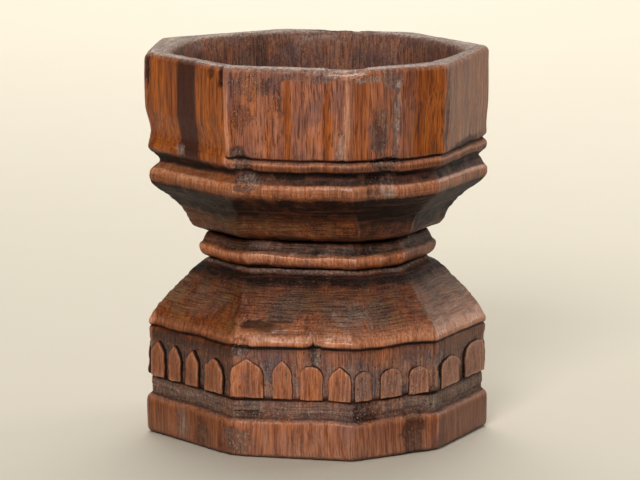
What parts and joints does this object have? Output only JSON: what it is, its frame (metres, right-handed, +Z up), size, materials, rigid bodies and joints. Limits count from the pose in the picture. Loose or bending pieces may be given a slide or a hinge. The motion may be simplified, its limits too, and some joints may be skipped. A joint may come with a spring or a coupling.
{
  "type": "carved wooden goblet",
  "caption": "Hand-carved octagonal wooden goblet: deep bowl with collar moulding, waist ring, and a spreading foot with a carved arcade band above a plinth.",
  "frame": {"origin": "centre of the flat base, at the level it stands on", "axes": "+Z up through the middle of the bowl; -Y the front; +X the right-hand side seen from the front"},
  "size_m": [0.1353, 0.1321, 0.15],
  "materials": {
    "bowl_wood": "old waxed hardwood, dark in the hollows",
    "waist_wood": "old waxed hardwood, worn bright on the edge",
    "foot_wood": "old waxed hardwood, dark in the carving",
    "wedge_wood": "dull oiled hardwood end"
  },
  "bodies": {
    "root": {"cup": "bowl_wood", "knop_ring": "waist_wood", "foot": "foot_wood", "tenon_wedge": "wedge_wood"}
  },
  "joints": []
}
